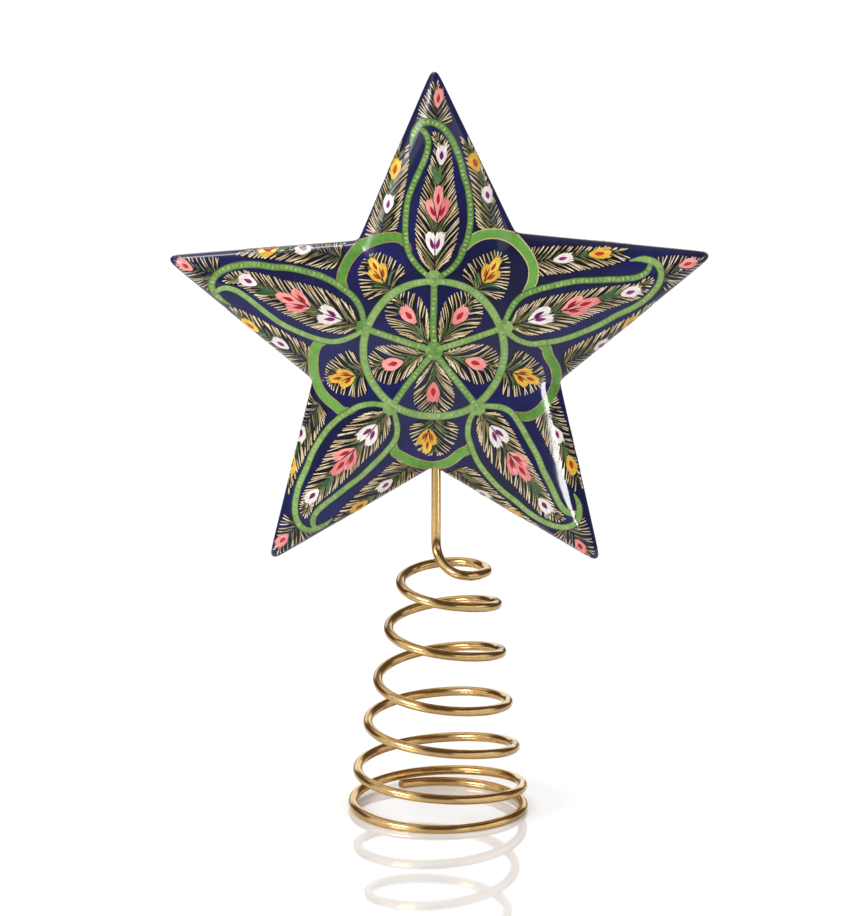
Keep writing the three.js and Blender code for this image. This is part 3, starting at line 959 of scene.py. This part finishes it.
def plainSpline(values, at):
    # Even Catmull-Rom through a list of numbers, as the part's source has it
    low = min(int(at), len(values) - 1)
    t = at - low
    before = values[max(low - 1, 0)]
    start = values[low]
    end = values[min(low + 1, len(values) - 1)]
    after = values[min(low + 2, len(values) - 1)]
    leave, reach = (end - before) / 2, (after - start) / 2
    cube = (2 * start - 2 * end + leave + reach) * t**3
    return cube + (3 * end - 3 * start - 2 * leave - reach) * t**2 + leave * t + start


def springPoint(turn):
    first, last = wire["endInsetTurns"]
    share = min(max((turn - first) / (last - first), 0), 1)
    radius = plainSpline(wire["turnRadii"], turn) - wire["endInset"] * share * share * (3 - 2 * share)
    z = max(plainSpline(wire["halfTurnHeights"], 2 * turn), wire["restHeight"])
    centreX = wire["footCentreX"] + wire["lean"] * (z / wire["halfTurnHeights"][0]) ** 2
    angle = 2 * math.pi * turn
    return Vector((centreX + radius * math.sin(angle), -radius * math.cos(angle), z))


def neckAndStem():
    start = springPoint(wire["start"])
    points = [springPoint(wire["start"] + 1 / 24), start]
    for across, forward, up in wire["neckShares"]:
        points.append(Vector((
            wire["stemX"] + (start.x - wire["stemX"]) * across,
            -wire["neckForward"] * forward,
            start.z + (wire["stemFoot"] - start.z) * up,
        )))
    for i in range(7):
        z = wire["stemFoot"] + (wire["hookFoot"] - wire["stemFoot"]) * i / 6
        points.append(Vector((wire["stemX"], 0, z)))
    for i in range(1, 4):
        angle = i * math.pi / 6
        x = wire["stemX"] + wire["hookRadius"] * (1 - math.cos(angle))
        points.append(Vector((x, 0, wire["hookFoot"] + wire["hookRadius"] * math.sin(angle))))
    for end in (0.5, 1):
        x = wire["stemX"] + wire["hookRadius"] + wire["hookEnd"] * end
        points.append(Vector((x, 0, wire["hookFoot"] + wire["hookRadius"])))
    return smoothPath(points, 8)[8:]


def wirePath():
    grid = wire["pointsPerTurn"]
    steps = range(int(wire["turns"] * grid), int(wire["start"] * grid), -1)
    turns = [wire["turns"]] + [step / grid for step in steps]
    spring = [springPoint(turn) for turn in turns]
    rest = neckAndStem()
    nearest = min(rest, key=lambda point: abs(point.z - wire["twistHeight"]))
    nearest.z = wire["twistHeight"]
    return spring + rest, turns


def wireTube(path):
    # The whole wire as a bevelled curve, made a mesh; its rings follow the path's points
    deselectAll()
    curve = bpy.data.curves.new("wirePath", "CURVE")
    curve.dimensions = "3D"
    curve.bevel_depth = wire["radius"] * mm
    curve.bevel_resolution = wire["bevelSteps"]
    curve.twist_mode = "MINIMUM"
    spline = curve.splines.new("POLY")
    spline.points.add(len(path) - 1)
    for point, at in zip(spline.points, path):
        point.co = (*((at + Vector((starCentre.x, 0, 0))) * mm), 1)
    tube = bpy.data.objects.new("wholeWire", curve)
    bpy.context.scene.collection.objects.link(tube)
    choose(tube)
    bpy.ops.object.convert(target="MESH")
    return bpy.context.active_object


def wireStretch(tube, name, first, last, rings):
    # The part of the tube between two of its rings, with its ends closed
    piece = copyOf(tube, name)
    sides = len(tube.data.vertices) // rings
    editPiece(piece)
    pick(piece, lambda vert: not first * sides <= vert.index < (last + 1) * sides)
    bpy.ops.mesh.delete(type="VERT")
    bpy.ops.mesh.select_mode(type="EDGE")
    bpy.ops.mesh.select_all(action="DESELECT")
    bpy.ops.mesh.select_non_manifold()
    bpy.ops.mesh.edge_face_add()
    faceOutwards(piece)
    return piece


brass = {
    "bright": srgb(228, 192, 132),
    "marked": srgb(176, 130, 74),
    "markShare": 0.6,
    "markStretch": (90.0, 5.0, 1.0),
    "dull": srgb(164, 116, 66),
    "dullShare": 0.35,
    "roughness": 0.12,
    "markRoughness": 0.08,
}


def brassFinish():
    # Drawn brass wire: bright, with fine brown marks that run along it
    shader = Shader("drawnBrass")
    along = shader.node("ShaderNodeTexCoord", output="UV")
    stretched = shader.node("ShaderNodeMapping", inputs={"Vector": along, "Scale": brass["markStretch"]})
    marks = shader.noise(stretched, 6, 4, 0.65)
    patches = shader.noise(shader.objectPlace(), 140)
    marked = shader.step(marks, 0.42, 0.72) * brass["markShare"]
    colour = shader.mix(marked, brass["bright"], brass["marked"])
    colour = shader.mix(shader.step(patches, 0.5, 0.8) * brass["dullShare"], colour, brass["dull"])
    rough = brass["roughness"] + marks * brass["markRoughness"]
    return shader.surface(baseColor=colour, metallic=1, roughness=rough,
                          normal=shader.bump(marks, 0.06, 0.0001))


drawnBrass = brassFinish()
path, turns = wirePath()
tube = wireTube(path)
rings = len(path)
print("wire tube:", len(tube.data.vertices), "vertices on", rings, "rings")


def ringOfTurn(turn):
    return min(range(len(turns)), key=lambda i: abs(turns[i] - turn))


twistRing = min(range(len(turns), rings), key=lambda i: abs(path[i].z - wire["twistHeight"]))
# name, first ring, last ring, the node it replaces, its bodies: one that it rides on, or the two on
# either side of its joint, which are not used to attach it, with 0 for the half turn below the joint and 1
# for the one above
stretches = [("wireFoot", 0, ringOfTurn(5), "spring_foot", ("foot",))]
for number, turn, below, above, node in wire["bends"]:
    joint = ringOfTurn(turn)
    stretches.append((f"wireTurn{number}Low", ringOfTurn(turn + 0.5), joint, None, (below, above, 0)))
    stretches.append((f"wireTurn{number}High", joint, ringOfTurn(turn - 0.5), node, (below, above, 1)))
stretches.append(("wireNeck", ringOfTurn(1), twistRing, "spring_neck", ("neck",)))
stretches.append(("wireStem", twistRing, rings - 1, "stem", ("star",)))
stemPieces = bpy.data.collections.new("stemPieces")  # what the stem's own small lamp lights
for name, first, last, node, bodies in stretches:
    piece = wireStretch(tube, name, first, last, rings)
    if name == "wireFoot":
        # The flat that it stands on. The usual threshold leaves points 0.1 mm under the floor
        cutOff(piece, (0, 0, 0), (0, 0, -1), 1e-7)
    if name == "wireStem":
        # A hair's gap, so that the stem turns on the neck without its end face rubbing
        editPiece(piece)
        pick(piece, lambda vert: vert.co.z < (wire["twistHeight"] + 0.01) * mm)
        bpy.ops.transform.translate(value=(0, 0, wire["twistGap"] * mm))
        bpy.ops.object.mode_set(mode="OBJECT")
    if len(bodies) == 1:
        finishPiece(piece, drawnBrass, wire["smoothAngle"], bodies[0])
    else:
        finishPiece(piece, drawnBrass, wire["smoothAngle"])
        below, above, half = bodies
        front, back = (path[ring].y * mm for ring in ((first, last) if half == 0 else (last, first)))
        if half == 0:
            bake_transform(piece)
        else:
            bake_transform(piece)
    if node:
        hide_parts(node)
    if name == "wireStem":
        stemPieces.objects.link(piece)
bpy.data.objects.remove(tube)
print("wire made in", len(stretches), "stretches")


# The strip and the plug inside the star
paper = {
    "dark": srgb(176, 160, 128),
    "pale": srgb(204, 192, 164),
    "pulpScale": 600,
    "fibreScale": 500,
    "fibreShare": 0.5,
    "roughness": 0.9,
    "grainStrength": 0.5,
    "grainHeight": 0.0003,
}


def paperFinish():
    # Bare pressed pulp
    shader = Shader("pressedPaper")
    place = shader.objectPlace()
    pulp = shader.noise(place, paper["pulpScale"], 5, 0.7)
    inputs = {"Vector": place, "Scale": paper["fibreScale"]}
    fibre = shader.node("ShaderNodeTexVoronoi", {"feature": "DISTANCE_TO_EDGE"}, inputs)
    colour = shader.mix(shader.step(pulp, 0.35, 0.7), paper["dark"], paper["pale"])
    grain = shader.bump(pulp + fibre * paper["fibreShare"], paper["grainStrength"], paper["grainHeight"])
    return shader.surface(baseColor=colour, roughness=paper["roughness"], normal=grain)


pressedPaper = paperFinish()
for node in ("seam_strip", "stem_plug"):
    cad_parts[node].data.materials.clear()
    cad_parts[node].data.materials.append(pressedPaper)
print("paper parts finished")


# The floor, lamps and world
studio = {
    "floorSize": 8,
    "floorDrop": 0.00005,
    "floorColour": (0.86, 0.86, 0.86, 1),
    "floorSeen": (1, 1, 1, 1),
    "floorShine": 0.29,
    "floorRoughness": 0.05,
    "gloom": (0.11, 0.08, 0.065, 1),
    "screen": (1.25, 1.25, 1.25, 1),
    "tableReach": (0.3, 0.4),  # where the bright table ends for reflections in the lacquer, in m
    "farFloor": (0.03, 0.03, 0.035, 1),
    "worldStrength": 0.9,
    "lamps": [
        # name, place, turned to, width, height, watts, the pieces whose gloss alone it lights
        ("softboxLeft", (-1.15, -0.85, 0.72), (0, 0, 0.1), 0.6, 0.45, 9, None),
        ("stripRight", (0.182, -0.254, 0.03), (0.03, 0, 0.09), 0.025, 0.06, 0.13, starPieces),
        ("stripTop", (-0.085, 0.39, 1.05), (-0.04, 0, 0.13), 0.4, 0.21, 2.2, starPieces),
        ("glowLeft", (-1.25, -0.8, 0.62), (0, 0, 0.12), 1.0, 0.8, 12, starPieces),
        ("stripStem", (0.173, -0.1, 0.029), (0, 0, 0.085), 0.045, 0.04, 0.014, stemPieces),
    ],
}

# The room that gloss sees, by the direction it looks in: -1 to 1 aside, forward and up. Each pair is
# where something starts to show and where it shows in full
room = {
    "wallsAside": (0.28, 0.5),
    "wallsForward": (0, 0.3),
    "wallsTop": (0.46, 0.66),
    "frontTop": (0.1, 0.32),
    "frontForward": (-0.6, -0.2),
    "frontLight": 0.35,
    "ceilingLeft": (0.1, 0.28),
    "ceilingFoot": (0.5, 0.7),
    "ceilingLight": 0.8,
    "screenForward": (0.8, 0.9),
    "screenFoot": (0.1, 0.16),
    "screenTop": (0.4, 0.48),
    "slotForward": (0.98, 0.99),
    "slotFoot": (-0.01, 0),
}


def addFloor():
    # A white glossy table; beyond it the lacquer reflects only the dark room
    deselectAll()
    bpy.ops.mesh.primitive_plane_add(size=studio["floorSize"], location=(0, 0, -studio["floorDrop"]))
    floor = bpy.context.active_object
    floor.name = "floor"
    shader = Shader("whiteTable")
    seen = shader.node("ShaderNodeLightPath", output="Is Camera Ray")
    colour = shader.mix(seen, studio["floorColour"], studio["floorSeen"])
    plain = shader.node("ShaderNodeBsdfDiffuse", inputs={"Color": colour})
    inputs = {"Color": (1, 1, 1, 1), "Roughness": studio["floorRoughness"]}
    mirror = shader.node("ShaderNodeBsdfGlossy", inputs=inputs)
    table = shader.node("ShaderNodeMixShader", inputs={0: studio["floorShine"], 1: plain, 2: mirror})
    reach = shader.node("ShaderNodeVectorMath", {"operation": "LENGTH"}, {0: shader.objectPlace()}, "Value")
    inReflection = shader.node("ShaderNodeLightPath", output="Is Glossy Ray")
    far = shader.node("ShaderNodeBsdfDiffuse", inputs={"Color": studio["farFloor"]})
    share = shader.step(reach, *studio["tableReach"]) * inReflection
    both = shader.node("ShaderNodeMixShader", inputs={0: share, 1: table, 2: far})
    shader.node("ShaderNodeOutputMaterial", inputs={"Surface": both})
    floor.data.materials.append(shader.owner)


def addLamps():
    for name, place, target, width, height, watts, glossyPieces in studio["lamps"]:
        aim = (Vector(target) - Vector(place)).to_track_quat("-Z", "Y")
        bpy.ops.object.light_add(type="AREA", location=place, rotation=aim.to_euler())
        lamp = bpy.context.active_object
        lamp.name = name
        lamp.data.shape = "RECTANGLE"
        lamp.data.size = width
        lamp.data.size_y = height
        lamp.data.energy = watts
        if glossyPieces:
            lamp.visible_diffuse = False
            lamp.light_linking.receiver_collection = glossyPieces


def lightWorld():
    world = bpy.data.worlds.new("studio")
    bpy.context.scene.world = world
    shader = Shader("studio", world)
    direction = shader.node("ShaderNodeTexCoord", output="Generated")
    across, forward, upward = (
        shader.node("ShaderNodeSeparateXYZ", inputs={0: direction}, output=axis) for axis in "XYZ"
    )
    # Gloss sees a dark room with pale walls at both sides, a lit ceiling at the left and a screen behind,
    # which a slot carries on down to the floor, for low views
    aside = shader.node("ShaderNodeMath", {"operation": "ABSOLUTE"}, {0: across})

    def reached(value, name):
        return shader.step(value, *room[name])

    walls = reached(aside, "wallsAside") * (1 - reached(forward, "wallsForward"))
    walls = walls * (1 - reached(upward, "wallsTop"))
    front = (1 - reached(upward, "frontTop")) * (1 - reached(forward, "frontForward")) * room["frontLight"]
    ceiling = reached(forward * 0.3 - across, "ceilingLeft") * reached(upward, "ceilingFoot")
    ceiling = ceiling * room["ceilingLight"]
    screenFoot = reached(upward, "screenFoot")
    screen = reached(forward, "screenForward") * screenFoot * (1 - reached(upward, "screenTop"))
    slot = reached(forward, "slotForward") * reached(upward, "slotFoot") * (1 - screenFoot)
    glossy = shader.mix(walls + front + ceiling, studio["gloom"], (1, 1, 1, 1))
    glossy = shader.mix(screen + slot, glossy, studio["screen"])
    plain = (studio["worldStrength"],) * 3 + (1,)
    colour = shader.mix(shader.node("ShaderNodeLightPath", output="Is Glossy Ray"), plain, glossy)
    colour = shader.mix(shader.node("ShaderNodeLightPath", output="Is Camera Ray"), colour, (1, 1, 1, 1))
    sky = shader.node("ShaderNodeBackground", inputs={"Color": colour, "Strength": 1})
    shader.node("ShaderNodeOutputWorld", inputs={"Surface": sky})


addFloor()
addLamps()
lightWorld()
print("studio set up")
